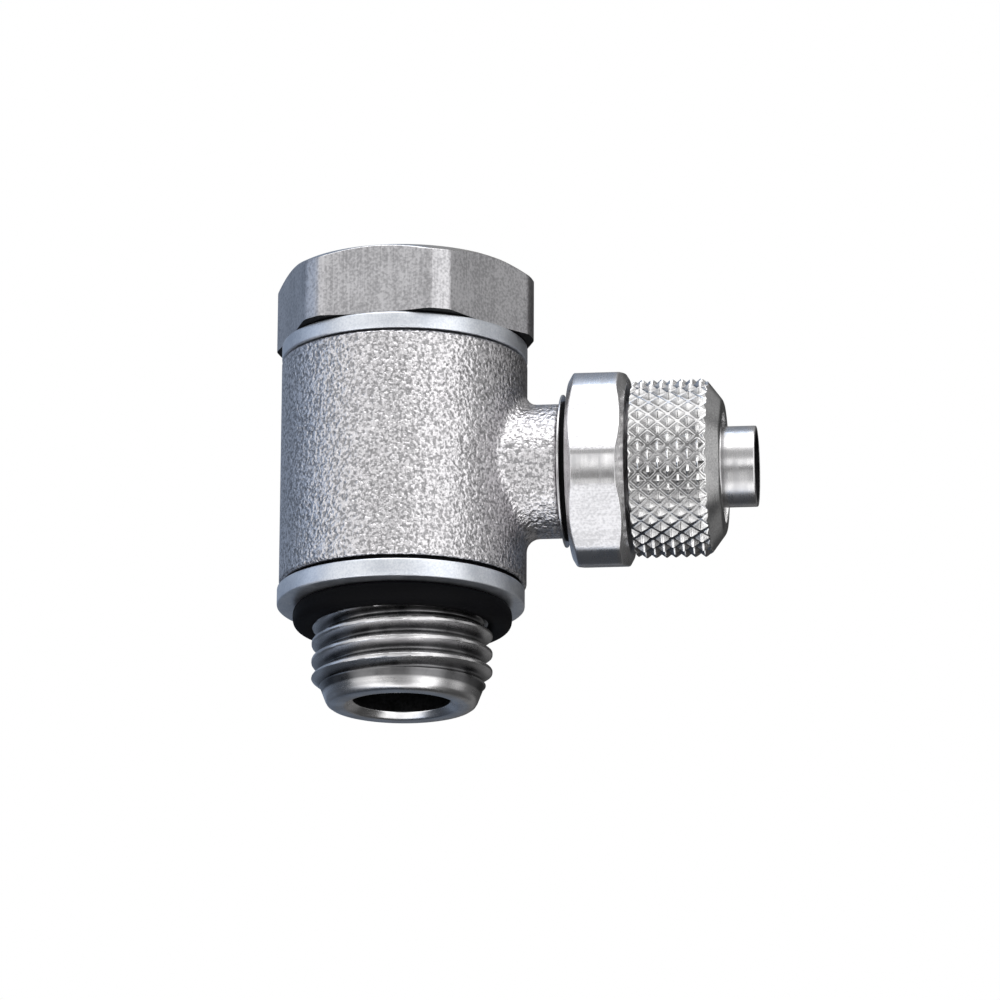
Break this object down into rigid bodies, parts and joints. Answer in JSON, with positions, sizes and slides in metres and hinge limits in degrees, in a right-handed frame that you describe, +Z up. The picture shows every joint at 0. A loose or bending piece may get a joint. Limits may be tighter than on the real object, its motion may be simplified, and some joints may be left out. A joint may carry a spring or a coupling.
{
  "type": "flow control valve",
  "caption": "Swivel elbow one-way flow control valve: hex-headed hollow bolt with port thread, blasted banjo body, side arm with knurled tube nut, recessed adjusting screw.",
  "frame": {"origin": "on the bolt's axis, in the plane where the port's face meets the port seal", "axes": "+Z up the bolt towards its head, +X along the arm towards the tube"},
  "size_m": [0.0354, 0.018, 0.0323],
  "materials": {
    "nickel_turned": "bright nickel plate over turned brass",
    "nickel_blasted": "blasted and nickel plated",
    "nickel_knurled": "nickel plated, diamond knurl",
    "aluminium_washer": "bright, lightly turned",
    "black_rubber": "smooth moulded",
    "spring_steel": "drawn wire",
    "brass_screw": "turned"
  },
  "bodies": {
    "bolt": {"hollow_bolt": "nickel_turned", "upper_washer": "aluminium_washer", "lower_washer": "aluminium_washer", "port_seal": "black_rubber", "lower_shank_o_ring": "black_rubber", "upper_shank_o_ring": "black_rubber", "check_lip_seal": "black_rubber", "retaining_ring": "spring_steel"},
    "needle_ring": {"needle_o_ring": "black_rubber"},
    "needle": {"adjusting_screw": "brass_screw"},
    "elbow": {"banjo_body": "nickel_blasted", "arm_washer": "aluminium_washer", "arm_seal": "black_rubber", "fitting_body": "nickel_turned"},
    "nut": {"union_nut": "nickel_knurled"}
  },
  "joints": [
    {"name": "body_swivel", "type": "hinge", "parent": "bolt", "child": "elbow", "pos_m": [0, 0, 0.01188], "axis": [0, 0, 1], "continuous": true},
    {"name": "screw_lift", "type": "slide", "parent": "bolt", "child": "needle_ring", "axis": [0, 0, 1], "range_m": [0, 0.0024]},
    {"name": "screw_turn", "type": "hinge", "parent": "needle_ring", "child": "needle", "pos_m": [0, 0, 0.0154], "axis": [0, 0, 1], "range_deg": [0, 1155]},
    {"name": "nut_travel", "type": "slide", "parent": "elbow", "child": "nut", "axis": [1, 0, 0], "range_m": [0, 0.0035]}
  ],
  "couplings": [
    {"joint": "screw_turn", "follows": "screw_lift", "rad_per_m": 8377.6}
  ]
}
